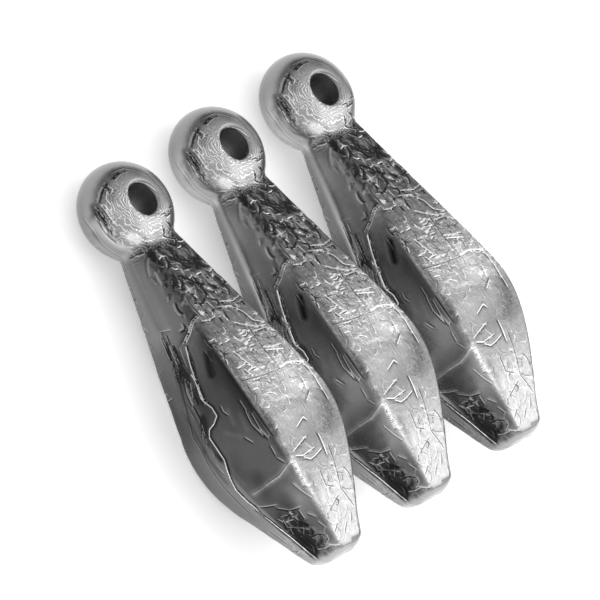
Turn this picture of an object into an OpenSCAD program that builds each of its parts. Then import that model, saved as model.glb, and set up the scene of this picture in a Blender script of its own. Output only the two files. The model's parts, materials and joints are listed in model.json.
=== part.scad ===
// Three cast lead bank sinkers, lying side by side on a flat surface.
// Each one is a single six-sided casting with a moulded eye at its narrow end.

/* [Eye] */
// Diameter of the round eye
eye_d = 13.4; // [12:0.1:15]
// Thickness of the eye, measured along its hole
eye_thickness = 8.5; // [7.5:0.1:10]
// Diameter of the hole that the line is tied through
hole_d = 4.3; // [3.6:0.1:5]
// Radius that rounds both mouths of the hole
mouth_r = 0.4; // [0.2:0.05:0.8]

/* [Neck] */
// Distance from the centre of the hole to the neck
neck_x = 6; // [5:0.1:7]
// Thickness of the neck between its two flat faces
neck_thickness = 6; // [5:0.1:7]
// Width of the neck's flat faces
neck_face = 6.5; // [5.5:0.1:7.5]
// Width of the neck from one parting edge to the other
neck_width = 9.6; // [9:0.1:10.8]

/* [Belly] */
// Distance from the centre of the hole to the belly
belly_x = 34.4; // [32:0.1:38]
// Thickness of the belly between its two flat faces
belly_thickness = 15.6; // [14:0.1:18]
// Width of the belly's flat faces
belly_face = 12.8; // [10:0.1:14]
// Width of the belly from one parting edge to the other
belly_width = 18.5; // [16.5:0.1:23]
// Length of the belly's curve on the side of the eye
blend_to_eye = 6.4; // [4:0.1:9]
// Length of the belly's curve on the side of the base
blend_to_base = 6.4; // [4:0.1:9]

/* [Base] */
// Distance from the centre of the hole to the flat base
base_x = 51.2; // [48:0.1:56]
// Thickness of the base between its two flat faces
base_thickness = 6.1; // [5.5:0.1:8]
// Width of the base's flat faces
base_face = 3.9; // [3:0.1:5]
// Width of the base from one parting edge to the other
base_width = 7.7; // [6.4:0.1:9]
// Radius that rounds the rim of the base
base_r = 1.4; // [0.6:0.1:1.8]

/* [Casting marks] */
// Radius on the long edges beside the flat faces
edge_r = 0.9; // [0.4:0.05:1.4]
// Height of the ridge that the mould's joint leaves on the casting
flash_h = 0.15; // [0.05:0.01:0.25]
// Width of that ridge at its root
flash_w = 0.4; // [0.2:0.05:0.6]
// Thickness of the stub where the pouring gate was clipped off
gate_thickness = 2.2; // [1.6:0.1:2.8]
// Width of the gate stub
gate_width = 3.2; // [2.4:0.1:3.8]
// Height of the gate stub above the base
gate_h = 0.2; // [0.1:0.05:0.6]

/* [Set] */
// Clearance between the parting edges of two neighbours
neighbour_gap = 0.3; // [0.3:0.05:3]
// How far each sinker lies towards the eyes from the one in front of it
stagger = 1.1; // [0:0.1:3]

/* [Hidden] */

// Steps of the curves along the body, round its edges and on the eye
belly_steps = 14;
base_steps = 6;
edge_steps = 6;
dome_steps = 14;
mouth_steps = 5;
round_fn = 96;

// How far the body reaches into the eye, and how far the gate stub is sunk
// into the body, so that the pieces of one casting join without a seam
wall_at_hole = 0.7;
root_x = hole_d / 2 + wall_at_hole;
gate_sink = 1;

eye_r = eye_d / 2;
hole_r = hole_d / 2;
lead_grey = [0.53, 0.54, 0.56];

// Sizes of a section: [thickness, width of a flat face, width across the parting edges]
neck_size = [neck_thickness, neck_face, neck_width];
belly_size = [belly_thickness, belly_face, belly_width];
base_size = [base_thickness, base_face, base_width];

// The flanks are straight. They would meet in a corner at belly_x, and a curve
// with the corner as its control point rounds the belly off to its stated size.
curve_start_x = belly_x - blend_to_eye;
curve_end_x = belly_x + blend_to_base;
start_share = blend_to_eye / (belly_x - neck_x);
end_share = blend_to_base / (base_x - belly_x);
corner_size = (4 * belly_size - start_share * neck_size - end_share * base_size)
    / (4 - start_share - end_share);
curve_start_size = corner_size + start_share * (neck_size - corner_size);
curve_end_size = corner_size + end_share * (base_size - corner_size);

// Point at share t of a quadratic curve from a through control point b to c
function curve(a, b, c, t) = pow(1 - t, 2) * a + 2 * t * (1 - t) * b + pow(t, 2) * c;

// Point at share t of the line from a to b
function between(a, b, t) = a + t * (b - a);

// Section of the upper flank at any place, also where it runs on into the eye
function flank_size(x) =
    between(neck_size, corner_size, (x - neck_x) / (belly_x - neck_x));

// Section of the lower flank at a place near the base
function lower_flank_size(x) =
    between(corner_size, base_size, (x - belly_x) / (base_x - belly_x));

// Sections of the rounded rim of the base: [place, size, inset]
function rim_station(a) = [
    base_x - base_r * (1 - sin(a)),
    lower_flank_size(base_x - base_r * (1 - sin(a))),
    base_r * (1 - cos(a))
];

// Every section of the body from the eye to the base: [place, size, inset]
stations = concat(
    [[root_x, flank_size(root_x), 0]],
    [for (i = [0 : belly_steps]) let (t = i / belly_steps) [
        curve(curve_start_x, belly_x, curve_end_x, t),
        curve(curve_start_size, corner_size, curve_end_size, t),
        0
    ]],
    [for (i = [0 : base_steps]) rim_station(90 * i / base_steps)]
);

// A quarter of a section, from the parting ridge up to the flat face, as points
// [across, up]. The corner beside the flat face is rounded to edge_r. An inset
// draws the section in on every side, and its flat face half as far at each end.
function quarter(size, inset) =
    let (
        up = size[0] / 2 - inset,
        face = size[1] / 2 - inset / 2,
        wide = size[2] / 2 - inset,
        lean = atan2(wide - face, up),
        r = min(edge_r, up / 2, face / 2),
        centre = [face - r * tan((90 - lean) / 2), up - r]
    )
    concat(
        [[wide + flash_h, 0], [wide - flash_w / 2 * tan(lean), flash_w / 2]],
        [for (i = [0 : edge_steps]) let (a = between(lean, 90, i / edge_steps))
            centre + r * [cos(a), sin(a)]]
    );

// Turns a list end for end
function reversed(v) = [for (i = [len(v) - 1 : -1 : 0]) v[i]];

// The whole section as a closed loop of points [across, up]
function section(size, inset) =
    let (
        q = quarter(size, inset),
        last = len(q) - 1,
        upper = concat(q, [for (i = [last : -1 : 0]) [-q[i][0], q[i][1]]]),
        lower = [for (i = [1 : last]) [-q[i][0], -q[i][1]]],
        lower_back = [for (i = [last : -1 : 1]) [q[i][0], -q[i][1]]]
    )
    concat(upper, lower, lower_back);

// Skins closed loops of 3D points, each with as many points, into one solid
module skin(loops) {
    n = len(loops[0]);
    m = len(loops);
    points = [for (loop = loops) each loop];
    sides = [for (j = [0 : m - 2], i = [0 : n - 1], half = [0, 1])
        let (a = j * n + i, b = j * n + (i + 1) % n)
        half == 0 ? [a, a + n, b] : [b, a + n, b + n]];
    start_cap = [[for (i = [0 : n - 1]) i]];
    end_cap = [[for (i = [n - 1 : -1 : 0]) (m - 1) * n + i]];
    polyhedron(points, concat(sides, start_cap, end_cap), convexity = 4);
}

// The six-sided body, from inside the eye to the flat base
module body() {
    skin([for (s = stations)
        [for (p = section(s[1], s[2])) [s[0], p[0], p[1]]]]);
}

// Upper half of the eye's outline beyond the hole's wall, as points
// [distance from the hole's axis, height]. A round mouth leads to a domed ring.
crest_r = hole_r + mouth_r;
crest_up = eye_thickness / 2;
mouth_up = crest_up - mouth_r;
eye_half = concat(
    [for (i = [0 : mouth_steps]) let (a = 180 - 90 * i / mouth_steps)
        [crest_r + mouth_r * cos(a), mouth_up + mouth_r * sin(a)]],
    [for (i = [1 : dome_steps - 1]) let (a = 90 * (1 - i / dome_steps))
        [crest_r + (eye_r - crest_r) * cos(a), crest_up * sin(a)]],
    [[eye_r, flash_w / 2], [eye_r + flash_h, 0]]
);

// The round eye with its hole
module eye() {
    lower_half = [for (p = reversed(eye_half)) if (p[1] > 0) [p[0], -p[1]]];
    rotate_extrude($fn = round_fn) polygon(concat(eye_half, lower_half));
}

// Clipped end of the metal that filled the pouring gate
module gate_stub() {
    translate([base_x - gate_sink, -gate_width / 2, -gate_thickness / 2])
        cube([gate_sink + gate_h, gate_width, gate_thickness]);
}

// One whole casting, with its length along X and the hole's axis on Z
module casting() {
    color(lead_grey) union() {
        eye();
        body();
        gate_stub();
    }
}

// A sinker lies on its belly and on its eye. These are the lowest points of
// both, as [along, up] before it is laid down.
eye_under = [for (p = eye_half) [-p[0], -p[1]]];
belly_under = [for (s = stations) [s[0], s[2] - s[1][0] / 2]];

function turned_up(p, a) = p[0] * sin(a) + p[1] * cos(a);
function turned_along(p, a) = p[0] * cos(a) - p[1] * sin(a);
function lowest(points, a) = min([for (p = points) turned_up(p, a)]);

// Angle at which the eye and the belly reach equally low, by halving the range
function lying_angle(low, high, steps) =
    let (a = (low + high) / 2)
    steps == 0 ? a
    : lowest(belly_under, a) < lowest(eye_under, a) ? lying_angle(a, high, steps - 1)
    : lying_angle(low, a, steps - 1);

lie = lying_angle(-30, 60, 40);
floor_drop = min(lowest(eye_under, lie), lowest(belly_under, lie));

// Ends of the lying casting along X, which place the set about its middle
gate_ends = [for (side = [-1, 1]) [base_x + gate_h, side * gate_thickness / 2]];
eye_outline = concat(eye_under, [for (p = eye_half) [-p[0], p[1]]]);
base_outline = concat(gate_ends, belly_under);
eye_end = min([for (p = eye_outline) turned_along(p, lie)]);
base_end = max([for (p = base_outline) turned_along(p, lie)]);
pitch = belly_width + 2 * flash_h + neighbour_gap;

// A casting lying at its place in the set, counted from the middle one to the back
module lying(place) {
    translate([-(eye_end + base_end) / 2 - place * stagger, place * pitch, -floor_drop])
        rotate([0, -lie, 0]) casting();
}

module sinker_front() {
    lying(-1);
}

module sinker_middle() {
    lying(0);
}

module sinker_back() {
    lying(1);
}

sinker_front();
sinker_middle();
sinker_back();
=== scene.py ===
import json
import math
import random
import bpy
import numpy as np
from mathutils import Matrix, Vector, noise
from mathutils.bvhtree import BVHTree


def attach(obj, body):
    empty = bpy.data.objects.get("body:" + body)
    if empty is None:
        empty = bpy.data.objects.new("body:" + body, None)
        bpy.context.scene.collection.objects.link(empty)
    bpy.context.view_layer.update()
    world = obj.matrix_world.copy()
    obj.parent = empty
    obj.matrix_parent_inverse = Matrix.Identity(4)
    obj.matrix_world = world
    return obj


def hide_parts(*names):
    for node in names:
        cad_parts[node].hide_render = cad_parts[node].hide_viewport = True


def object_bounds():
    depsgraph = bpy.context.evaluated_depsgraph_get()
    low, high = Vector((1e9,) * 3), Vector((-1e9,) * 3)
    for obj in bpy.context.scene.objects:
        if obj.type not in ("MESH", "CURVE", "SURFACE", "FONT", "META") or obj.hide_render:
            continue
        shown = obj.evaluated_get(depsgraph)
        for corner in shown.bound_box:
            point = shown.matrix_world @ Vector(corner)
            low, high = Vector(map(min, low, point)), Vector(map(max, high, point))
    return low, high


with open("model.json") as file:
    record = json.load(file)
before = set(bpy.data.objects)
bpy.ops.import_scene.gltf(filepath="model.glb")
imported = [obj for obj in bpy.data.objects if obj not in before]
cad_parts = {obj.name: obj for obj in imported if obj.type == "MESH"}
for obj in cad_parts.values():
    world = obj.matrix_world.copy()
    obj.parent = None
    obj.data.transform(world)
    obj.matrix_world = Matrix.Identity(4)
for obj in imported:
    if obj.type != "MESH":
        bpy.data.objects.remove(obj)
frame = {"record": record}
cad_low, cad_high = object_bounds()
mm = 0.001

# Camera
# The photograph looks down on the row from the front, turned so that the sinkers
# run from the upper left to the lower right. It shows next to no perspective, so
# the lens is very long and stands far off.
picture_px = 600
px_per_mm = 7.89
azimuth, elevation = math.radians(1.0), math.radians(44.7)
axis_below_level = math.radians(58.0)
camera_distance = 2000 * mm
middle_mouth_px = (234.4, 143.3)

mounts = {mount["name"]: mount for mount in frame["record"]["mounts"]}


def hole_centre(place):
    return Vector(mounts[place + "_eye"]["pos_m"])


hole_axis = Vector(mounts["middle_eye"]["axis"]).normalized()
hole_length = mounts["middle_eye"]["dims"]["length_mm"] * mm
hole_r = mounts["middle_eye"]["dims"]["r_mm"] * mm

towards_camera = Vector((math.sin(azimuth) * math.cos(elevation),
                         -math.cos(azimuth) * math.cos(elevation), math.sin(elevation)))
level_right = Vector((math.cos(azimuth), math.sin(azimuth), 0))
level_up = towards_camera.cross(level_right)
long_axis = Vector((0, 1, 0)).cross(hole_axis)
roll = axis_below_level + math.atan2(long_axis.dot(level_up), long_axis.dot(level_right))
picture_right = level_right * math.cos(roll) + level_up * math.sin(roll)
picture_up = level_up * math.cos(roll) - level_right * math.sin(roll)
middle_mouth = hole_centre("middle") + hole_axis * hole_length / 2


def in_picture(px):
    """The point of the middle sinker's plane that the photograph shows at a pixel."""
    across = (px[0] - middle_mouth_px[0]) / px_per_mm * mm
    down = (px[1] - middle_mouth_px[1]) / px_per_mm * mm
    return middle_mouth + picture_right * across - picture_up * down


bpy.ops.object.select_all(action="DESELECT")
bpy.ops.object.camera_add()
camera = bpy.context.object
camera.name = "camera"
camera.location = in_picture((picture_px / 2, picture_px / 2)) + towards_camera * camera_distance
camera.rotation_euler = Matrix((picture_right, picture_up, towards_camera)).transposed().to_euler()
camera.data.lens = camera.data.sensor_width * camera_distance * px_per_mm / (picture_px * mm)
camera.data.clip_end = 3 * camera_distance
bpy.context.scene.camera = camera

# Lead blank
# One sinker as it fell out of its two-part mould: a six-sided body of soft lead,
# slim at the eye, full at the belly and cut flat at the base. It lies along X
# here, with the axis of its eye on Z.
root_x, neck_x, belly_x, base_x = 2.85 * mm, 6 * mm, 34.4 * mm, 51.2 * mm
belly_blend = 6.4 * mm
upper_steps, belly_steps, lower_steps = 10, 12, 4
edge_round, edge_steps = 0.7 * mm, 4
rim_round, rim_steps = 1.4 * mm, 5
tiny = 0.01 * mm

# Sizes of a section: its thickness, the width of its flat faces, and its full width.
neck_size = np.array((6, 6.5, 9.6)) * mm
belly_size = np.array((15.6, 12.8, 18.5)) * mm
base_size = np.array((6.1, 3.9, 7.7)) * mm


def between(start, end, share):
    return start + share * (end - start)


def round_off(start, corner, end, share):
    """A point on the curve that rounds the belly's corner off."""
    return (1 - share) ** 2 * start + 2 * share * (1 - share) * corner + share ** 2 * end


def pick(test):
    """Selects the vertices that pass the test, and what lies between them."""
    bpy.ops.object.mode_set(mode="OBJECT")
    for part in (bpy.context.object.data.edges, bpy.context.object.data.polygons):
        part.foreach_set("select", [False] * len(part))
    for vertex in bpy.context.object.data.vertices:
        vertex.select = test(vertex.co)
    bpy.ops.object.mode_set(mode="EDIT")


def size_end(x, old, new):
    """Draws the end of the body at x out or in, from one section's size to another's."""
    pick(lambda co: abs(co.x - x) < tiny and abs(co.z) < tiny)
    bpy.ops.transform.resize(value=(1, new[2] / old[2], 1), center_override=(x, 0, 0))
    pick(lambda co: abs(co.x - x) < tiny and abs(co.z) > tiny)
    bpy.ops.transform.resize(value=(1, new[1] / old[1], new[0] / old[0]), center_override=(x, 0, 0))
    pick(lambda co: abs(co.x - x) < tiny)


# The flanks are straight, and would meet in a corner at the belly. A curve rounds it off
# to the belly's own size.
start_share = belly_blend / (belly_x - neck_x)
end_share = belly_blend / (base_x - belly_x)
corner_size = ((4 * belly_size - start_share * neck_size - end_share * base_size)
               / (4 - start_share - end_share))
blend_start, blend_end = belly_x - belly_blend, belly_x + belly_blend
blend_start_size = between(corner_size, neck_size, start_share)
blend_end_size = between(corner_size, base_size, end_share)
root_size = neck_size + (corner_size - neck_size) * (root_x - neck_x) / (belly_x - neck_x)
stations = []
for step in range(upper_steps):
    share = step / upper_steps
    stations.append((between(root_x, blend_start, share), between(root_size, blend_start_size, share)))
for step in range(belly_steps + 1):
    share = step / belly_steps
    stations.append((round_off(blend_start, belly_x, blend_end, share),
                     round_off(blend_start_size, corner_size, blend_end_size, share)))
for step in range(lower_steps):
    share = (step + 1) / lower_steps
    stations.append((between(blend_end, base_x, share), between(blend_end_size, base_size, share)))

bpy.ops.object.select_all(action="DESELECT")
bpy.ops.mesh.primitive_circle_add(vertices=6, radius=1 * mm, fill_type="NGON",
                                  rotation=(0, math.radians(90), 0), location=(root_x, 0, 0))
blank = bpy.context.object
blank.name = "blank"
bpy.ops.object.transform_apply(location=True, rotation=True, scale=True)
bpy.ops.object.mode_set(mode="EDIT")
hexagon_size = np.array((2 * math.sin(math.radians(60)), 1, 2)) * mm
size_end(root_x, hexagon_size, root_size)
for (x, size), (next_x, next_size) in zip(stations, stations[1:]):
    bpy.ops.mesh.extrude_region_move(TRANSFORM_OT_translate={"value": (next_x - x, 0, 0)})
    size_end(next_x, size, next_size)
bpy.ops.mesh.bevel(offset=rim_round, segments=rim_steps, affect="EDGES")
bpy.ops.mesh.select_all(action="SELECT")
bpy.ops.mesh.normals_make_consistent(inside=False)

# The four long edges beside the flat faces come out of the mould round.
bpy.ops.object.mode_set(mode="OBJECT")
bpy.context.tool_settings.mesh_select_mode = (False, True, False)
corners = blank.data.vertices
for edge in blank.data.edges:
    start, end = (corners[i].co for i in edge.vertices)
    edge.select = bool(abs(start.x - end.x) > tiny and start.y * end.y > 0
                       and min(abs(start.z), abs(end.z)) > base_size[0] / 2 - rim_round
                       and max(start.x, end.x) < base_x - rim_round / 2)
bpy.ops.object.mode_set(mode="EDIT")
bpy.ops.mesh.bevel(offset=edge_round, segments=edge_steps, affect="EDGES")
bpy.context.tool_settings.mesh_select_mode = (True, False, False)
bpy.ops.object.mode_set(mode="OBJECT")

# The eye of the blank is turned out of its half profile about the hole.
eye_r, eye_half = 6.7 * mm, 4.25 * mm
mouth_round = 0.4 * mm
crest_r = hole_r + mouth_round
profile_points, turn_steps = 40, 72
bpy.ops.object.select_all(action="DESELECT")
bpy.ops.mesh.primitive_circle_add(vertices=profile_points, radius=1 * mm, fill_type="NOTHING",
                                  rotation=(math.radians(90), 0, 0))
eye = bpy.context.object
eye.name = "eye"
bpy.ops.object.transform_apply(location=True, rotation=True, scale=True)
bpy.ops.object.mode_set(mode="EDIT")
bpy.ops.mesh.select_all(action="SELECT")
bpy.ops.transform.resize(value=((eye_r - crest_r) / mm, 1, eye_half / mm), center_override=(0, 0, 0))
bpy.ops.transform.translate(value=(crest_r, 0, 0))
pick(lambda co: co.x < crest_r - tiny)
bpy.ops.transform.resize(value=(0, 1, (eye_half - mouth_round) / eye_half),
                         center_override=(hole_r, 0, 0))
bpy.ops.mesh.select_all(action="SELECT")
bpy.ops.mesh.spin(steps=turn_steps, angle=math.radians(360), center=(0, 0, 0), axis=(0, 0, 1))
bpy.ops.mesh.select_all(action="SELECT")
bpy.ops.mesh.remove_doubles(threshold=tiny)
bpy.ops.mesh.normals_make_consistent(inside=False)
bpy.ops.object.mode_set(mode="OBJECT")

# The two are fused, as they are cast in one, and get an even skin of small faces
# that the marks of the mould and of wear are pressed into.
skin_size = 0.2 * mm
smoothing, soften_passes, fillet_passes = 0.5, 4, 40
blank.select_set(True)
bpy.context.view_layer.objects.active = blank
bpy.ops.object.join()
remesh = blank.modifiers.new("skin", "REMESH")
remesh.mode = "VOXEL"
remesh.voxel_size = skin_size
soften = blank.modifiers.new("soften", "SMOOTH")
soften.factor = smoothing
soften.iterations = soften_passes
for modifier in (remesh.name, soften.name):
    bpy.ops.object.modifier_apply(modifier=modifier)

# The eye runs into the body in a fillet.
foot_r, foot_reach = 6.9 * mm, 1.6 * mm
foot = blank.vertex_groups.new(name="foot")
for vertex in blank.data.vertices:
    off = abs(math.hypot(vertex.co.x, vertex.co.y) - foot_r)
    if off < foot_reach and vertex.co.x > 0:
        foot.add([vertex.index], 1 - off / foot_reach, "REPLACE")
fillet = blank.modifiers.new("fillet", "SMOOTH")
fillet.vertex_group = foot.name
fillet.factor = smoothing
fillet.iterations = fillet_passes
bpy.ops.object.modifier_apply(modifier=fillet.name)
bpy.ops.object.shade_smooth()

# Marks on the skin
# Lead freezes against a cold mould in folds and wrinkles, and is soon dented and
# scratched. Each line is given by the photograph's pixels on the front sinker, pressed
# into the skin, and noted there for the lead's material to draw as fine as it is, in
# painted highlight and shade.
lie = math.atan2(hole_axis.x, hole_axis.z)
to_casting = (Matrix.Translation(hole_centre("front")) @ Matrix.Rotation(lie, 4, "Y")).inverted()
bare_skin = BVHTree.FromPolygons([v.co for v in blank.data.vertices],
                                 [p.vertices for p in blank.data.polygons])
count = len(blank.data.vertices)
skin, facing = np.empty(count * 3), np.empty(count * 3)
blank.data.vertices.foreach_get("co", skin)
blank.data.vertices.foreach_get("normal", facing)
skin, facing = skin.reshape(-1, 3) / mm, facing.reshape(-1, 3)
along, across, up = skin.T
height, tone, line_light_shade = np.zeros(count), np.zeros(count), np.zeros(count)
no_line = 9.0
line_distance, line_side = np.full(count, no_line), np.full(count, no_line)


def on_skin(px):
    """The place in mm on the casting that the camera sees at a pixel of the photograph."""
    start = to_casting @ camera.location
    target = to_casting @ in_picture(px)
    hit = bare_skin.ray_cast(start, (target - start).normalized())[0]
    return np.array(hit or bare_skin.find_nearest(target)[0]) / mm


def ease(low, high, value):
    """0 below the low value and 1 above the high one, with a smooth change between them."""
    share = np.clip((value - low) / (high - low), 0, 1)
    return share * share * (3 - 2 * share)


def hill(distance, half_width):
    """1 at a distance of 0, falling off softly on both sides."""
    return np.exp(-(distance / half_width) ** 2)


def grain(size, seed):
    """Smooth noise over the skin, about -1 to 1, in grains of the given size in mm."""
    noise_gain = 1.6
    return np.array([noise.noise(Vector(place)) for place in skin / size + seed]) * noise_gain


def beside_line(line):
    """What lies near a line on the skin: which points, how far off, and how far to its right."""
    reach = 1.6
    low, high = line.min(0) - reach, line.max(0) + reach
    near = np.flatnonzero(((skin > low) & (skin < high)).all(1))
    nearest, side = np.full(len(near), np.inf), np.full(len(near), np.inf)
    for start, end in zip(line, line[1:]):
        run = end - start
        share = np.clip((skin[near] - start) @ run / (run @ run), 0, 1)
        off = skin[near] - start - share[:, None] * run
        distance = np.linalg.norm(off, axis=1)
        right = np.einsum("ij,ij->i", np.cross(run, facing[near]), off) / np.linalg.norm(run)
        closer = distance < nearest
        nearest[closer], side[closer] = distance[closer], right[closer]
    return near, nearest, side


def both_ways(points):
    """A line on the skin and its copy on the casting turned half round its length."""
    line = np.array(points)
    return line, line * (1, -1, -1)


def draw(near, nearest, right, strength, bold=1.0):
    """Notes a line of painted light and shade for the lead to draw: 1 for a bright core with painted shade
    beside it, -1 for a dark core with a painted highlight beside it.
    """
    overlap, end_round = 0.12, 0.12
    fade_start, fade_end = 0.25, 0.5
    closer = nearest < line_distance[near] + overlap
    chosen = near[closer]
    line_distance[chosen], line_side[chosen] = nearest[closer], right[closer] / bold
    past_end = nearest[closer] - np.abs(right[closer])
    sideways_fade = 1 - ease(fade_start * bold, fade_end * bold, nearest[closer])
    line_light_shade[chosen] = strength * hill(past_end, end_round * bold) * sideways_fade


def fold(points, lip=0.05, groove=0.08, width=0.2, strength=0.9, shade=0.1, side=1):
    """A lip where two tongues of lead met, with a painted highlight on its crest and painted shade in a
    groove to its right.
    """
    groove_reach, groove_off = 2.5 * width, 1.4 * width
    for line in both_ways(points):
        near, nearest, right = beside_line(line)
        trough = hill(nearest, groove_reach) * hill(right * side - groove_off, width)
        height[near] += lip * hill(nearest, width) - groove * trough
        tone[near] -= shade * trough
        draw(near, nearest, right * side, strength)


def scratch(points, depth=0.05, width=0.2, strength=0.7, bold=1.0):
    """A groove, drawn with a painted highlight or painted shade along it and the opposite beside it."""
    for line in both_ways(points):
        near, nearest, right = beside_line(line)
        height[near] -= depth * hill(nearest, width * bold)
        draw(near, nearest, right, strength, bold)


def smear(points, half_width, shade, depth=0.0, turned=True):
    """A soft streak of painted light or shade, lighter or darker than the lead beside it, and sunk if it
    has a depth.
    """
    for line in both_ways(points)[:1 + turned]:
        near, nearest, _ = beside_line(line)
        height[near] -= depth * hill(nearest, half_width)
        tone[near] += shade * hill(nearest, half_width)


def seen(points_px):
    return [on_skin(px) for px in points_px]


def on_face(x, sideways, face):
    """The place in mm on the casting under a point of its flat face, or beside one of its flank."""
    well_clear = 20
    start, ahead = {"flat": ((x, sideways, well_clear), (0, 0, -1)),
                    "flank": ((x, -well_clear, sideways), (0, 1, 0))}[face]
    hit = bare_skin.ray_cast(Vector(start) * mm, Vector(ahead))[0]
    return None if hit is None else np.array(hit) / mm


def crumple(face, x_range, side_range, number, length, lean, spread, seed, strengths, bold, lip):
    """Strews short bent creases over a face, leaning by so many degrees from its length, each drawn in
    painted highlight and shade.
    """
    crease_points, curl_spread = 4, 20
    crease_width, steepest, calming = 0.2, 0.8, 0.8
    lots = random.Random(seed)
    for _ in range(number):
        x, sideways = lots.uniform(*x_range), lots.uniform(*side_range)
        way = math.radians(lots.gauss(lean, spread))
        curl = math.radians(lots.gauss(0, curl_spread))
        step = lots.uniform(0.5, 1.5) * length / (crease_points - 1)
        strength = lots.uniform(*strengths)
        crease = []
        for _ in range(crease_points):
            point = on_face(x, sideways, face)
            if point is not None:
                crease.append(point)
            x, sideways, way = x + step * math.cos(way), sideways + step * math.sin(way), way + curl
        if len(crease) < 2 or np.abs(np.diff(np.array(crease)[:, 2])).max() > steepest:
            continue
        if face == "flat":
            strength *= 1 - calming * hill(np.linalg.norm(crease[0] - calm_middle), calm_r)
        for line in both_ways(crease):
            near, nearest, right = beside_line(line)
            height[near] += lip * math.copysign(1, strength) * hill(nearest, crease_width * bold)
            draw(near, nearest, right, strength, bold)


# Fine creases are strewn over the faces, drawn in painted highlight and shade, and a patch of
# the belly is calm. Each row gives the face, the stretch along and across it, how many creases
# there are, how long they are, their lean and its spread in degrees, a seed, their strengths,
# their boldness and their lip.
calm_middle, calm_r = on_skin((306, 415)), 4.6
for strewn in (
        ("flat", (6.5, 12.5), (-3.5, 4), 45, 1.9, 0, 25, 1, (-0.7, 0.8), 2.5, 0.03),
        ("flat", (11, 17.5), (-3.5, 4.5), 50, 1.7, 50, 22, 8, (-0.5, 1), 2.2, 0.03),
        ("flat", (6.5, 17.5), (-3.5, 4), 40, 1.2, 25, 35, 9, (0.6, 2), 1, 0.02),
        ("flat", (6.5, 17.5), (-3.5, 4), 25, 1.2, 25, 35, 10, (-2, -1), 1.5, 0.02),
        ("flank", (6, 11), (2.3, 3.3), 14, 1.8, 5, 12, 12, (-0.8, 0.4), 2, 0.02),
        ("flank", (10, 17), (3.1, 4.2), 14, 1.8, 5, 12, 13, (-0.8, 0.4), 2, 0.02),
        ("flat", (17, 24), (-4, 5), 45, 1.3, 60, 25, 2, (-0.7, 1.1), 1, 0.02),
        ("flat", (19, 31), (-5.5, 6), 120, 1.0, 0, 12, 3, (-0.8, 1.3), 1, 0.02),
        ("flat", (19, 31), (-5.5, 6), 120, 0.9, 80, 12, 4, (-0.8, 1.3), 1, 0.02),
        ("flat", (31, 44), (-5.5, 5), 60, 1.1, 20, 30, 5, (-0.5, 0.9), 1, 0.02),
        ("flat", (42, 50), (-3.5, 3.5), 50, 1.2, 0, 30, 6, (-0.9, 0.4), 1, 0.02),
        ("flank", (43, 49.5), (0.4, 2.4), 24, 1.2, 10, 30, 7, (-1.2, 0.3), 2, 0.03),
        ("flank", (43, 49.5), (0.4, 2.6), 14, 0.9, 10, 40, 11, (0.5, 1.2), 1, 0.03),
        ("flat", (2.5, 6), (0, 4.5), 16, 0.8, 60, 40, 14, (-1.6, -0.8), 1, 0.02)):
    crumple(*strewn)

# Creases of the flat face, from the neck to the base, and streaks of painted light and shade on it.
for crease_px in (
        [(203, 320.6), (209, 319.5), (214.7, 316)],
        [(196.3, 316), (191.2, 321.6), (188, 332), (183, 343)],
        [(198.5, 317), (193.5, 323), (190.5, 333), (186.5, 342)],
        [(219.8, 301.2), (233, 300.2), (239.2, 295.1)],
        [(217.8, 306.8), (232, 305.3)],
        [(233, 306.8), (243.3, 311.4), (252.4, 319.6), (263.7, 321.6)],
        [(234, 321.6), (246, 324.7), (256, 326), (265.7, 324.2)],
        [(247.3, 330.3), (256, 330), (263.7, 327.2)],
        [(263.7, 346.6), (272, 346), (280, 343.6)],
        [(264.7, 349.6), (282, 348.6)],
        [(279, 367.6), (286, 362.4), (294, 360.5), (303, 361)],
        [(235, 352), (242, 358), (251.4, 365.5)],
        [(244.7, 369), (251.8, 374.3)],
        [(250, 378.9), (256, 378.4), (262, 376.4)],
        [(301.8, 377.3), (305.9, 385.5)],
        [(310, 391.6), (307.4, 398.8)],
        [(300, 358), (312, 372), (320, 385), (328, 398)],
        [(297.8, 425.3), (302.9, 416.6), (305.9, 418.7)],
        [(293.7, 450.8), (300, 443), (305.9, 436)],
        [(297, 455.4), (302.7, 455.4), (311.3, 449.6), (314.2, 447.2)],
        [(305.6, 457.3), (311.3, 458.7), (316, 455), (321.9, 448.2)],
        [(319, 433.8), (324.7, 445.3), (327.6, 453)]):
    fold(seen(crease_px))
for scratch_px in (
        [(249, 326), (263, 348), (280, 368)],
        [(243, 380), (260, 376), (268, 373), (280, 368)],
        [(237, 352), (244, 350), (260, 362)],
        [(188.7, 301.2), (196, 310), (203, 317.5)],
        [(199, 303), (205, 310), (210, 316)],
        [(240, 292), (255, 307), (271, 323), (286, 337)],
        [(329.5, 445.3), (335.3, 461.6), (341, 487.4), (354.4, 504.6)],
        [(338.1, 496), (330.5, 509.4)],
        [(320.9, 471), (325.7, 484.5), (329.5, 485.5)]):
    scratch(seen(scratch_px), strength=-0.7)
for streak_px, half_width, shade in (
        ([(176, 238), (186, 252)], 0.7, 0.1),
        ([(179, 274), (189, 289)], 0.8, 0.06),
        ([(193, 303), (206, 315)], 0.7, 0.12),
        ([(188, 316), (204, 332)], 0.9, -0.06),
        ([(238, 362), (250, 380)], 0.7, -0.06),
        ([(284, 366), (294, 382)], 1.8, 0.1),
        ([(318, 395), (312, 435)], 2.2, -0.05),
        ([(324, 396), (330, 414), (330, 422)], 1.4, -0.12)):
    smear(seen(streak_px), half_width, shade)
smear(seen([(198, 259), (212, 274), (222, 286)]), 0.5, -0.1, turned=False)
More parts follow.
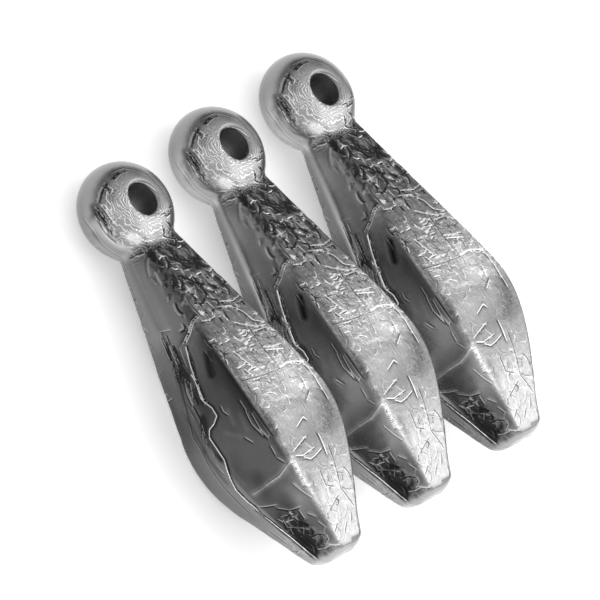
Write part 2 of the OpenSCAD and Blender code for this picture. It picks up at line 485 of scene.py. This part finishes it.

# Marks of the upper side, and streaks of painted light and shade on it.
for scratch_px in (
        [(240, 401), (246, 410)],
        [(246, 412), (252, 424), (264, 436)],
        [(252, 414), (260, 428), (268, 438)],
        [(268.2, 436.5), (276.3, 427.3)],
        [(221.2, 407), (223.5, 411.5), (227.3, 414)],
        [(245.7, 437.6), (251.8, 441.6)],
        [(271.2, 446.7), (275.3, 453.9)],
        [(278.4, 458), (283.5, 461)],
        [(294, 484), (301, 490), (311.3, 497)],
        [(256, 506), (265, 506.5), (275.9, 504.6)],
        [(278, 508), (290, 510), (299, 507)],
        [(299.9, 511.3), (304.6, 518)],
        [(308.5, 513.3), (315.2, 516.1)],
        [(283.6, 520.9), (287.4, 527.6), (297, 527.6)],
        [(319, 521.9), (325.7, 526.7)],
        [(326.7, 535.3), (329, 539), (327, 543)],
        [(205.5, 352), (210.6, 360.4)]):
    scratch(seen(scratch_px))
for scratch_px in (
        [(188.7, 352.2), (193.3, 362.4), (195.3, 372.6)],
        [(255, 411), (264, 424), (272, 435)],
        [(312.3, 537.2), (318, 534.5), (323.8, 535.3)],
        [(302, 536), (308, 541), (314, 547)]):
    scratch(seen(scratch_px), depth=0.08, strength=-0.7)
for streak_px, half_width, shade in (
        ([(152, 258), (170, 285), (188, 312)], 0.9, -0.06),
        ([(135, 262), (156, 304), (176, 348)], 0.6, 0.05),
        ([(208, 342), (218, 355), (236, 385), (262, 420)], 1.5, -0.11),
        ([(226.6, 353.8), (245, 383.5), (258.4, 404.7), (272.7, 427.6), (276, 433)], 0.5, -0.2),
        ([(228, 410), (234, 424)], 0.3, 0.05),
        ([(240, 414), (247, 430)], 0.3, 0.04),
        ([(226, 433), (241, 437)], 0.3, 0.04),
        ([(290, 462), (280, 476), (268, 484), (254, 494)], 0.4, 0.14),
        ([(258, 478), (268, 498)], 1.0, -0.06),
        ([(290, 462), (300, 480), (310, 500), (320, 519), (331, 540)], 1.0, 0.11),
        ([(309, 476), (316, 492), (320, 503), (328, 522)], 0.5, -0.12),
        ([(299, 500), (306, 516), (314, 534)], 0.6, 0.06)):
    smear(seen(streak_px), half_width, shade)
smear(seen([(208, 355), (209.5, 364), (212, 374)]), 0.42, -0.26, depth=0.12)
smear(seen([(303, 536), (312, 545)]), 0.6, -0.12, depth=0.08)

# A low weld crosses the side below the belly, and a row of short nicks runs down the near
# edge of the flat face, each drawn with a painted highlight and shade.
scratch(seen([(290, 462), (280, 476), (268, 484)]), depth=-0.06, strength=0.5)
scratch(seen([(268, 484), (262, 489), (254, 494)]), depth=-0.04, strength=0.25)
nicks = 12
first_nick_px, last_nick_px = (293.2, 462.0), (304.6, 484.5)
for nick in range(nicks):
    x, y = (between(first, last, nick / (nicks - 1)) for first, last in zip(first_nick_px, last_nick_px))
    scratch(seen([(x - 1.2, y + 0.7), (x + 1.6, y - 0.9)]), depth=0.02)

# Flash ran out between the halves of the mould, wavy at the belly, drawn with a painted
# highlight. The strip between it and the lower edge of the side is painted in dark shade with bold strokes
# of painted light and shade, and is rougher where darker.
flash_px = ((186, 348), (190, 364), (194, 376), (200, 392), (204, 402), (212, 408), (217, 416),
            (214, 424), (209, 430), (209, 438), (216, 448), (224, 460), (228, 472), (236, 490),
            (248, 502), (254, 506.5), (261.6, 515.2), (268.3, 520), (283.6, 531.4), (300.8, 545.8),
            (315.2, 557.3))
edge_px = ((160.5, 334), (166.1, 349), (172.2, 368), (178.4, 385), (184.5, 408), (191.6, 437.6),
           (198.8, 448.8), (205.9, 462), (221.2, 485.5), (236.5, 502.9), (246.7, 513.1))
fold(seen(flash_px), lip=0.1, groove=0.12, strength=1.5, side=-1)
fold(seen([(191.6, 375.3), (195.7, 382.4), (200.8, 398.8), (204, 402)]), lip=0.08, strength=1.5)
fold(seen(edge_px), lip=0.03, groove=0.06, strength=0.35, side=-1)
for bold_px, strength, bold in (
        ([(216.1, 465.6), (223.3, 473.3)], 0.8, 1),
        ([(271.1, 532.4), (284.5, 542.4)], 0.8, 1),
        ([(161, 339), (168, 356), (177, 370)], -0.8, 1),
        ([(159.6, 331.8), (168.8, 329.8)], 0.4, 1),
        ([(201, 429), (202, 440)], 0.5, 1),
        ([(166, 345), (173, 364), (178, 382)], -1, 1.5),
        ([(174, 348), (181, 364), (187, 380)], -0.9, 2),
        ([(169, 347), (176, 364)], 0.5, 1),
        ([(180, 350), (186, 366)], 0.4, 1),
        ([(180, 374), (181, 388), (185, 402), (192, 414)], -1, 3),
        ([(187, 376), (192, 390), (197, 402)], -0.9, 2),
        ([(184, 380), (187, 394), (192, 404)], 0.5, 1),
        ([(190, 384), (192, 397)], 0.6, 1),
        ([(194, 408), (200, 420), (202, 432)], -0.8, 1.5),
        ([(203, 420), (205, 430), (207, 440)], -1.1, 3),
        ([(201, 426), (203, 435)], 0.8, 1),
        ([(210, 446), (214, 455)], -0.8, 1.5)):
    scratch(seen(bold_px), strength=strength, bold=bold)
for streak_px, half_width, shade in (
        ([(181, 372), (180, 386), (183, 400), (188, 410), (193, 416)], 0.6, -0.12),
        ([(187, 390), (192, 404), (198, 414)], 0.25, 0.12),
        ([(202, 420), (204, 430), (206, 441)], 0.5, -0.12),
        ([(208, 444), (213, 452), (220, 460)], 0.4, -0.25),
        ([(171, 342), (180, 366), (188, 390), (198, 414), (204, 440)], 1.0, -0.02),
        ([(187, 362), (193, 378), (201, 396), (208, 412), (206, 424), (204, 436)], 0.8, -0.04),
        ([(188, 420), (196, 436), (204, 450)], 0.6, -0.2),
        ([(204, 452), (214, 466), (226, 482)], 0.5, -0.12)):
    smear(seen(streak_px), half_width, shade, depth=0.04)
smear(seen([(256, 511), (270, 523), (285, 535), (312, 557)]), 0.2, -0.5, depth=0.1)

# Marks of the eye, and streaks of painted light and shade on it.
for bold_px, strength, bold in (
        ([(98, 209), (100, 217), (105, 224)], -0.9, 2),
        ([(102, 206), (107, 214), (112, 221)], 0.7, 1.5),
        ([(106, 185), (102, 192), (100, 200)], -0.8, 2),
        ([(113, 178), (118, 173), (124, 171)], -0.9, 2),
        ([(107, 188), (111, 191), (115, 190)], -0.9, 1.3),
        ([(102, 228), (108, 236), (115, 242)], -0.5, 1.5),
        ([(131, 258), (137, 254.5), (145, 252.5), (151, 255)], -0.5, 1.3),
        ([(168, 222), (172, 228), (169, 233)], -0.9, 1.3),
        ([(175, 212), (176, 222), (173, 230)], -0.9, 1.3)):
    scratch(seen(bold_px), strength=strength, bold=bold)
fold(seen([(85.3, 219.4), (93.5, 230.6), (103.7, 244.9), (114.9, 253), (124, 260.2)]), strength=0.5)
for scratch_px in (
        [(97.6, 212.2), (105.7, 222.4)],
        [(99, 209.5), (107, 220)],
        [(96, 216), (102, 225)],
        [(114.9, 178.6), (119, 174), (123, 171.4)],
        [(105.7, 187), (109.8, 190), (113.9, 192.9)],
        [(110.8, 172.4), (123, 167.3), (135.3, 169.4), (147.6, 174.5), (156.7, 183.7), (165.9, 194.9),
         (171, 204)]):
    scratch(seen(scratch_px), strength=-0.8)
for scratch_px in (
        [(103.7, 208), (113.9, 222.4)],
        [(106, 206.5), (112, 214)],
        [(100, 222), (106, 232)],
        [(107, 192), (106, 199), (110, 204)],
        [(109, 186), (113, 189), (111, 193)],
        [(136.3, 182.7), (147.6, 184.7), (155, 190)]):
    scratch(seen(scratch_px), depth=0.03, strength=0.8)
smear(seen([(99, 212), (106, 224)]), 0.5, -0.12, depth=0.08)
for streak_px, half_width, shade in (
        ([(150, 168), (160, 177), (168, 191), (172, 206), (172, 222)], 0.5, -0.22),
        ([(131, 237), (137, 240)], 0.6, 0.5),
        ([(114, 172), (103, 182), (97, 195), (98, 210), (105, 226)], 0.9, -0.12),
        ([(112, 174), (123, 169), (137, 171)], 0.7, -0.12)):
    smear(seen(streak_px), half_width, shade)
for streak_px, half_width, shade in (
        ([(95, 235), (106, 244), (118, 252), (130, 255)], 0.7, -0.14),
        ([(139, 249), (147, 244)], 0.5, -0.16),
        ([(157, 234), (167, 223)], 0.6, -0.08),
        ([(109, 232), (117, 240)], 0.6, -0.1),
        ([(163, 244), (171, 237)], 0.5, 0.16),
        ([(173, 235), (178, 229)], 0.35, -0.25),
        ([(131, 186), (141, 186), (150, 190)], 0.5, 0.09),
        ([(106, 184), (110, 192), (112, 198)], 0.6, -0.12)):
    smear(seen(streak_px), half_width, shade, turned=False)

# What kind of face each point of the skin is on. The upper side is the one that the
# photograph shows above the mould's joint, and the far half lies beyond the middle of the
# flat face. Both are meant with their copies on the casting turned half round.
level = np.abs(facing[:, 2])
off_joint = np.abs(up)
far_half = across * up > 0
flat_from, far_flat_from = (0.55, 0.9), (0.8, 0.95)
flat = np.where(far_half, ease(*far_flat_from, level), ease(*flat_from, level))
upper_from = (-0.1, 0.1)
upper = ease(*upper_from, facing[:, 2] * -np.sign(across + tiny))
base_from = (0.5, 0.85)
on_base = ease(*base_from, facing[:, 0])
eye_end = (4.8, 6.4)
on_eye = 1 - ease(*eye_end, along)
on_body = (1 - on_eye) * (1 - on_base)

# The ridge of the mould's joint runs all round the casting at half its height, low at the
# neck, and the whole skin is a little uneven. No mark stands out far.
ridge_h, ridge_w, ridge_at_neck, ridge_wavering = 0.12, 0.22, 0.1, 0.3
ridge_start = (18, 24)
ridge_growth = ridge_at_neck + (1 - ridge_at_neck) * ease(*ridge_start, along)
ridge_waver = 1 - ridge_wavering + ridge_wavering * grain(3, 7.7)
height += ridge_h * hill(up, ridge_w) * ridge_growth * ridge_waver
uneven_at_neck, uneven_start = 0.2, (16, 24)
uneven = uneven_at_neck + (1 - uneven_at_neck) * ease(*uneven_start, along)
wide_swell, small_swell = 0.1, 0.04
sunk, highest = 0.05, 0.13
height += uneven * (wide_swell * grain(6, 3.1) + small_swell * grain(2.5, 9.4)) - sunk
height = np.minimum(height, highest)

# How grey the lead is painted along each kind of face, as pairs of a place in mm and a tone.
# Each grey holds painted light and shade for its face: the flat face brightens from the neck
# to painted highlights at the belly and by the base, and the sides are darker.
flat_greys = ((5, 0.23), (8, 0.24), (12, 0.31), (15, 0.37), (19, 0.5), (24, 0.68), (28, 0.79),
              (31, 0.75), (34, 0.58), (37, 0.52), (40, 0.57), (44, 0.71), (52, 0.72))
upper_side_greys = ((5, 0.41), (16, 0.4), (20, 0.33), (25, 0.26), (29, 0.27), (33, 0.32), (38, 0.33),
                    (41, 0.35), (44, 0.25), (46, 0.18), (49, 0.18), (50.5, 0.45))
lower_side_greys = ((5, 0.48), (13, 0.46), (16, 0.48), (18, 0.38), (21, 0.31), (25, 0.25), (28, 0.25),
                    (31, 0.38), (36, 0.45), (39, 0.47), (42, 0.47), (45, 0.5), (48, 0.52), (52, 0.56))
base_grey = 0.66


def grey_along(greys):
    return np.interp(along, *zip(*greys))


# Painted shade under the far edge of the flat face, and a painted highlight along the near edge by the
# base.
side_grey = upper * grey_along(upper_side_greys) + (1 - upper) * grey_along(lower_side_greys)
far_edge_shade, far_edge_from = 0.1, (0.5, 0.7)
side_grey -= far_edge_shade * far_half * ease(*far_edge_from, level)
edge_highlight, edge_highlight_start, edge_highlight_width = 0.16, (38, 43), (1, 3)
half_thickness = np.array((belly_size[0], base_size[0])) / 2 / mm
below_edge = np.interp(along, (belly_x / mm, base_x / mm), half_thickness) - off_joint
side_grey += edge_highlight * upper * ease(*edge_highlight_start, along) * (1 - ease(*edge_highlight_width, below_edge))
face_grey = flat * grey_along(flat_greys) + (1 - flat) * side_grey
body_grey = (1 - on_base) * face_grey + on_base * base_grey

# The eye has a painted highlight round one spot, and painted shade that darkens down its hole.
bright_middle, bright_middle_turned = both_ways(on_skin((138, 230)))
from_bright = np.minimum(np.linalg.norm(skin - bright_middle, axis=1),
                         np.linalg.norm(skin - bright_middle_turned, axis=1))
bright_r = (3, 8)
eye_highlight = 1 - ease(*bright_r, from_bright)
hole_wall_r, hole_wall_up = hole_r / mm + 0.1, 3.8
in_hole = (np.hypot(along, across) < hole_wall_r) * (off_joint < hole_wall_up)
deep_from = (0.5, 3.4)
deep = 1 - ease(*deep_from, off_joint)
eye_plain_grey, highlight_lift, hole_shade, deep_shade = 0.54, 0.2, 0.04, 0.2
eye_grey = eye_plain_grey + highlight_lift * eye_highlight - in_hole * (hole_shade + deep_shade * deep)
tone += on_eye * eye_grey + (1 - on_eye) * body_grey

# Which kind of wrinkle lies where: tangled on the neck's flat face and beside the base,
# crazed on the belly, and in rings round the hole.
neck_tangle_end, side_tangle_start, side_tangle_up = (15, 21), (43, 46), (2.2, 3.2)
flat_tangle = flat * (1 - ease(*neck_tangle_end, along))
side_tangle = (1 - flat) * ease(*side_tangle_start, along) * (1 - ease(*side_tangle_up, off_joint))
tangle_share = on_body * (flat_tangle + side_tangle)
craze_start, craze_thins, side_craze = (14, 22), (29, 33), 0.06
thinning, calm_thinning = 0.4, 0.7
calm = sum(hill(np.linalg.norm(skin - middle, axis=1), calm_r) for middle in both_ways(calm_middle))
craze_share = (side_craze + (1 - side_craze) * flat) * ease(*craze_start, along)
craze_share *= (1 - thinning * ease(*craze_thins, along)) * (1 - calm_thinning * calm)
rings_end, rings_from, dull_rings = (6, 7.5), (0.15, 0.6), 0.15
rings_share = (1 - ease(*rings_end, along)) * ease(*rings_from, level)
rings_share *= dull_rings + (1 - dull_rings) * eye_highlight

skin_now = skin + facing * height[:, None]
blank.data.vertices.foreach_set("co", (skin_now * mm).ravel())
for name, values in (("tone", tone), ("line_light_shade", line_light_shade), ("line_side", line_side)):
    blank.data.attributes.new(name, "FLOAT", "POINT").data.foreach_set("value", values)
wrinkles = np.stack((tangle_share, craze_share, rings_share), axis=1)
for name, vectors in (("casting", skin), ("wrinkles", wrinkles)):
    blank.data.attributes.new(name, "FLOAT_VECTOR", "POINT").data.foreach_set("vector", vectors.ravel())
blank.data.update()

# Lead
# Bare lead is a soft grey metal. Its grey here is painted with light and shade, and it is
# made duller where it is painted darker. Its marks and its finest wrinkles are drawn here, in
# painted highlight and shade, where the skin notes them.
lead = bpy.data.materials.new("lead")
lead.use_nodes = True
shader = lead.node_tree.nodes["Principled BSDF"]
nodes, links = lead.node_tree.nodes, lead.node_tree.links


def put(value, socket):
    """Gives a node's input a number, or links it to another node's output."""
    if hasattr(value, "is_output"):
        links.new(value, socket)
    else:
        socket.default_value = value


def sum_node(operation, first, second=0.0, clamp=False):
    made = nodes.new("ShaderNodeMath")
    made.operation = operation
    made.use_clamp = clamp
    put(first, made.inputs[0])
    put(second, made.inputs[1])
    return made.outputs["Value"]


def add(first, second):
    return sum_node("ADD", first, second)


def less(first, second):
    return sum_node("SUBTRACT", first, second)


def times(first, second):
    return sum_node("MULTIPLY", first, second)


def read(name, output="Fac"):
    made = nodes.new("ShaderNodeAttribute")
    made.attribute_name = name
    return made.outputs[output]


def parts_of(vector):
    made = nodes.new("ShaderNodeSeparateXYZ")
    links.new(vector, made.inputs["Vector"])
    return made.outputs


def clouds(per_mm, detail, distortion, squeeze=(1, 1, 1)):
    """Soft noise over the casting, from 0 to 1, finer along each axis by its squeeze."""
    squeezed = nodes.new("ShaderNodeMapping")
    squeezed.inputs["Scale"].default_value = squeeze
    links.new(read("casting", "Vector"), squeezed.inputs["Vector"])
    made = nodes.new("ShaderNodeTexNoise")
    links.new(squeezed.outputs["Vector"], made.inputs["Vector"])
    for name, value in (("Scale", per_mm), ("Detail", detail), ("Distortion", distortion)):
        made.inputs[name].default_value = value
    return made.outputs["Fac"]


def contours(field, number, fineness):
    """Lines of equal height of a field, like those of a map: 1 on a line and 0 off it."""
    wave = sum_node("ABSOLUTE", sum_node("SINE", times(field, number * math.pi)))
    return sum_node("POWER", less(1, wave), fineness)


def near_zero(value, half_width):
    """1 where the value is near 0, falling off to 0 over the outer half of the width."""
    off = sum_node("DIVIDE", sum_node("ABSOLUTE", value), half_width)
    return sum_node("MULTIPLY", less(1, off), 2, clamp=True)


# A drawn line is painted highlight and shade: a fine bright or dark core with its opposite close beside it.
core_width, shadow_off = 0.1, 0.17
core_tone, shadow_tone = 0.35, 0.2
side_read = read("line_side")
core = near_zero(side_read, core_width)
shadow = near_zero(less(side_read, shadow_off), core_width)
line_tone = times(read("line_light_shade"), less(times(core, core_tone), times(shadow, shadow_tone)))

# Tangled streaks, slightly drawn out along the neck. Each kind of wrinkle has a middle that
# is taken off it, so that it paints a highlight on its lines and shade between them.
streaks = contours(clouds(0.5, 1, 0.8, (0.7, 1.3, 1)), number=4, fineness=1.3)
streak_height, tangle_middle = 0.7, 0.25
tangle = less(times(streaks, streak_height), tangle_middle)

# Crazing: painted shade in the cracks between cells, and fine painted highlights on creases along and
# across the belly.
cells_per_mm, bends_per_mm = 1.1, 1.3
cells = nodes.new("ShaderNodeTexVoronoi")
cells.feature = "DISTANCE_TO_EDGE"
cells.inputs["Scale"].default_value = cells_per_mm
bend = nodes.new("ShaderNodeVectorMath")
bend.operation = "ADD"
links.new(read("casting", "Vector"), bend.inputs[0])
links.new(clouds(bends_per_mm, 1, 0), bend.inputs[1])
links.new(bend.outputs["Vector"], cells.inputs["Vector"])
crack_width, crack_height = 0.06, -0.6
cracks = times(near_zero(cells.outputs["Distance"], crack_width), crack_height)
lengthwise = contours(clouds(0.5, 1, 0.8, (0.5, 1.6, 1)), number=4, fineness=8)
crosswise = contours(clouds(0.5, 1, 0.8, (1.6, 0.5, 1)), number=4, fineness=8)
craze_middle, patch_gain = 0.2, 2
craze_patches = times(clouds(0.3, 1, 0), patch_gain)
craze = times(less(add(add(lengthwise, crosswise), cracks), craze_middle), craze_patches)

# Wavering rings of painted highlight round the hole, with painted shade between them.
along_part, across_part, _ = parts_of(read("casting", "Vector"))
from_hole = sum_node("SQRT", add(sum_node("POWER", along_part, 2), sum_node("POWER", across_part, 2)))
ring_growth, rings_middle = 0.35, 0.3
ring_field = add(times(from_hole, ring_growth), clouds(0.55, 3, 0.6))
rings = less(contours(ring_field, number=7, fineness=2.5), rings_middle)

tangle_tone, craze_tone, rings_tone = 0.25, 0.18, 0.4
tangle_read, craze_read, rings_read = parts_of(read("wrinkles", "Vector"))
wrinkle_tone = add(times(times(tangle, tangle_read), tangle_tone),
                   add(times(times(craze, craze_read), craze_tone),
                       times(times(rings, rings_read), rings_tone)))
tone_all = add(read("tone"), add(line_tone, wrinkle_tone))

# Tones are even steps to the eye. The power makes them the share of light sent back.
darkest, brightest, eye_to_light = 0.14, 0.97, 2.2
kept_tone = sum_node("MAXIMUM", sum_node("MINIMUM", tone_all, brightest), darkest)
links.new(sum_node("POWER", kept_tone, eye_to_light), shader.inputs["Base Color"])
bump = nodes.new("ShaderNodeBump")
bump.inputs["Strength"].default_value = 0.5
bump.inputs["Distance"].default_value = 0.1 * mm
links.new(add(wrinkle_tone, line_tone), bump.inputs["Height"])
links.new(bump.outputs["Normal"], shader.inputs["Normal"])

# Lead painted bright is made smooth, lead painted dark is made dull, and random patches are duller too.
smoothest, dark_dullness, patches_dull = 0.08, 0.16, 0.16
dullness_of_dark = times(sum_node("SUBTRACT", 1, tone_all, clamp=True), dark_dullness)
dull_patches = times(clouds(0.9, 3, 0.4), patches_dull)
links.new(add(smoothest, add(dullness_of_dark, dull_patches)), shader.inputs["Roughness"])
shader.inputs["Metallic"].default_value = 0.85
blank.data.materials.append(lead)

# Row of sinkers
# Three castings from one mould lie loose side by side, each on its belly and its eye. The
# sides that lie against a neighbour are painted lighter, above all in the hollow beside the
# belly, to lift the neighbour's shade, because the photograph shows them as light as the open side.
neighbour_lift_greys = ((5, 0.1), (12, 0.15), (16, 0.14), (20, 0.13), (28, 0.12), (34, 0.14), (38, 0.14),
                (42, 0.08), (45, 0.02), (50, -0.04))
hollow_lift_greys = ((8, 0.0), (14, 0.06), (18, 0.17), (21, 0.38), (25, 0.52), (30, 0.5), (33, 0.34),
                (36, 0.22), (39, 0.0))
above_joint, hollow_up, hollow_start = (-1.5, -0.2), (-0.5, 3.5), (18, 24)
eye_hollow_lift, eye_hollow_start, eye_hollow_up = 0.12, (-4, 0), (0, 3)
back_foot_shade, back_foot_start, back_foot_up = 0.2, (41, 45), (-1, 0.5)

in_hollow = np.where(across < 0, 1 - ease(*hollow_up, up), ease(*hollow_start, along))
neighbour_lift_grey = (grey_along(neighbour_lift_greys) + grey_along(hollow_lift_greys) * in_hollow) * ease(*above_joint, up)
# Painted shade on the back sinker's foot beside the base, and painted light in the eye's hollow beside a
# neighbour.
back_foot = (1 - ease(*back_foot_up, up)) * ease(*back_foot_start, along)
eye_hollow = on_eye * ease(*eye_hollow_start, along) * (1 - ease(*eye_hollow_up, up))
for place in ("front", "middle", "back"):
    bpy.ops.object.select_all(action="DESELECT")
    blank.select_set(True)
    bpy.context.view_layer.objects.active = blank
    bpy.ops.object.duplicate()
    sinker = bpy.context.object
    sinker.name = "lead_" + place
    sinker.rotation_euler = (0, lie, 0)
    sinker.location = hole_centre(place)
    bpy.ops.object.transform_apply(location=True, rotation=True, scale=True)
    faces_neighbour = ((across < 0) & (place != "front")) | ((across > 0) & (place != "back"))
    body_lift = neighbour_lift_grey - back_foot_shade * (place == "back") * back_foot
    painted_lift = body_lift * (1 - flat) * (1 - on_eye) + eye_hollow_lift * eye_hollow
    sinker.data.attributes["tone"].data.foreach_set("value", tone + faces_neighbour * painted_lift)
    for vertex in sinker.data.vertices:
        vertex.co.z = min(max(vertex.co.z, 0), cad_high[2])
    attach(sinker, place)
    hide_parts("sinker_" + place)
bpy.data.objects.remove(blank)

# Floor and light
# The row lies on white paper in a pale studio, lit by one large softbox high up behind it
# to the right. The paper glows a little to the camera and in reflections, where it would
# otherwise look grey.
paper_side, paper_grey, paper_roughness, paper_glow = 6, 0.9, 0.9, 0.4
bpy.ops.object.select_all(action="DESELECT")
bpy.ops.mesh.primitive_plane_add(size=paper_side)
floor = bpy.context.object
floor.name = "floor"
paper = bpy.data.materials.new("paper")
paper.use_nodes = True
nodes, links = paper.node_tree.nodes, paper.node_tree.links
shader = nodes["Principled BSDF"]
shader.inputs["Base Color"].default_value = (paper_grey, paper_grey, paper_grey, 1)
shader.inputs["Roughness"].default_value = paper_roughness
shader.inputs["Emission Color"].default_value = (1, 1, 1, 1)
rays = nodes.new("ShaderNodeLightPath").outputs
shown = sum_node("MAXIMUM", rays["Is Camera Ray"], rays["Is Glossy Ray"])
shown = sum_node("MAXIMUM", shown, rays["Is Transmission Ray"])
links.new(times(shown, paper_glow), shader.inputs["Emission Strength"])
floor.data.materials.append(paper)

level_light, overhead_light = 0.7, 1.0
studio = bpy.data.worlds.new("studio")
bpy.context.scene.world = studio
studio.use_nodes = True
nodes, links = studio.node_tree.nodes, studio.node_tree.links
studio_grey = nodes.new("ShaderNodeMapRange")
studio_grey.inputs["To Min"].default_value = level_light
studio_grey.inputs["To Max"].default_value = overhead_light
way = nodes.new("ShaderNodeTexCoord").outputs["Generated"]
links.new(parts_of(way)["Z"], studio_grey.inputs["Value"])
links.new(studio_grey.outputs["Result"], nodes["Background"].inputs["Color"])

softbox_way = Vector((0.4, 0.6, 0.65)).normalized()
softbox_distance, softbox_side, softbox_radiance = 0.5, 0.6, 1.15
bpy.ops.object.light_add(type="AREA", location=softbox_way * softbox_distance)
softbox = bpy.context.object
softbox.name = "key_softbox"
softbox.rotation_euler = softbox_way.to_track_quat("Z", "Y").to_euler()
softbox.data.shape = "SQUARE"
softbox.data.size = softbox_side
softbox.data.energy = softbox_radiance * math.pi * softbox_side ** 2
softbox.visible_camera = False

bpy.context.scene.view_settings.view_transform = "Standard"
